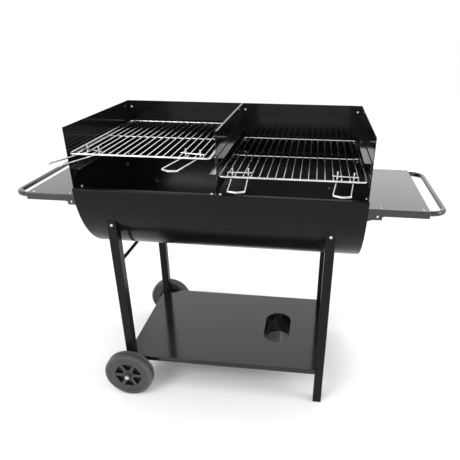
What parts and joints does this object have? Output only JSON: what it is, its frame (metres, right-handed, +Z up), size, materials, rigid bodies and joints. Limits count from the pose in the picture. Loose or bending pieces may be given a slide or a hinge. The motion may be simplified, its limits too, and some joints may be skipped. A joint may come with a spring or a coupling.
{
  "type": "charcoal grill trolley",
  "caption": "Half-round trough grill on a wheeled stand, with an open-fronted wind guard, sliding wire grates, side tables with tube handles, and a bottom shelf.",
  "frame": {"origin": "on the floor, under the middle of the whole trolley", "axes": "+X along the trough towards the right side table as the cook sees it, +Y towards the back of the wind guard, +Z up"},
  "size_m": [1.154, 0.5776, 0.817],
  "materials": {
    "gloss_enamel": "high-gloss black enamel on steel sheet",
    "satin_enamel": "satin black paint on steel tube",
    "chrome_wire": "chrome-plated steel wire",
    "zinc": "bright zinc-plated steel",
    "wheel_plastic": "moulded grey-black plastic",
    "foot_plastic": "moulded black plastic"
  },
  "bodies": {
    "trolley": {"trough": "gloss_enamel", "end_plate_left": "gloss_enamel", "end_plate_right": "gloss_enamel", "back_panel": "gloss_enamel", "side_panel_left": "gloss_enamel", "side_panel_right": "gloss_enamel", "divider": "gloss_enamel", "rail_outer_left_low": "gloss_enamel", "rail_outer_left_high": "gloss_enamel", "rail_inner_left_low": "gloss_enamel", "rail_inner_left_high": "gloss_enamel", "rail_inner_right_low": "gloss_enamel", "rail_inner_right_high": "gloss_enamel", "rail_outer_right_low": "gloss_enamel", "rail_outer_right_high": "gloss_enamel", "table_left": "gloss_enamel", "table_right": "gloss_enamel", "handle_left": "gloss_enamel", "handle_right": "gloss_enamel", "bracket_front_left": "gloss_enamel", "bracket_back_left": "gloss_enamel", "bracket_front_right": "gloss_enamel", "bracket_back_right": "gloss_enamel", "leg_front_left": "satin_enamel", "leg_back_left": "satin_enamel", "leg_front_right": "satin_enamel", "leg_back_right": "satin_enamel", "cap_front_left": "foot_plastic", "cap_back_left": "foot_plastic", "cap_front_right": "foot_plastic", "cap_back_right": "foot_plastic", "stretcher_left": "satin_enamel", "stretcher_right": "satin_enamel", "shelf": "gloss_enamel", "shelf_well": "gloss_enamel", "axle": "zinc", "axle_nuts": "zinc", "guard_bolts": "zinc", "end_bolts": "zinc", "leg_bolts": "zinc", "shelf_bolts": "zinc", "table_screws": "zinc", "rim_bolts": "zinc"},
    "left_grate": {"grate_left": "chrome_wire"},
    "right_grate": {"grate_right": "chrome_wire"},
    "left_outer_grip": {"grip_left_outer": "chrome_wire"},
    "left_inner_grip": {"grip_left_inner": "chrome_wire"},
    "right_inner_grip": {"grip_right_inner": "chrome_wire"},
    "right_outer_grip": {"grip_right_outer": "chrome_wire"},
    "front_wheel": {"wheel_front": "wheel_plastic"},
    "back_wheel": {"wheel_back": "wheel_plastic"}
  },
  "joints": [
    {"name": "left_grate_slide", "type": "slide", "parent": "trolley", "child": "left_grate", "axis": [0, -1, 0], "range_m": [0, 0.46]},
    {"name": "right_grate_slide", "type": "slide", "parent": "trolley", "child": "right_grate", "axis": [0, -1, 0], "range_m": [0, 0.46]},
    {"name": "left_outer_grip_swing", "type": "hinge", "parent": "left_grate", "child": "left_outer_grip", "pos_m": [-0.31448, -0.15818, 0.75555], "axis": [0, 0, 1], "range_deg": [-3, 47]},
    {"name": "left_inner_grip_swing", "type": "hinge", "parent": "left_grate", "child": "left_inner_grip", "pos_m": [-0.05827, -0.15818, 0.75555], "axis": [0, 0, 1], "range_deg": [-13, 37]},
    {"name": "right_inner_grip_swing", "type": "hinge", "parent": "right_grate", "child": "right_inner_grip", "pos_m": [0.05827, -0.15818, 0.71355], "axis": [0, 0, 1], "range_deg": [-29, 21]},
    {"name": "right_outer_grip_swing", "type": "hinge", "parent": "right_grate", "child": "right_outer_grip", "pos_m": [0.31448, -0.15818, 0.71355], "axis": [0, 0, 1], "range_deg": [-19, 31]},
    {"name": "front_wheel_spin", "type": "hinge", "parent": "trolley", "child": "front_wheel", "pos_m": [-0.2915, -0.19518, 0.075], "axis": [0, 1, 0], "continuous": true},
    {"name": "back_wheel_spin", "type": "hinge", "parent": "trolley", "child": "back_wheel", "pos_m": [-0.2915, 0.26082, 0.075], "axis": [0, 1, 0], "continuous": true}
  ]
}
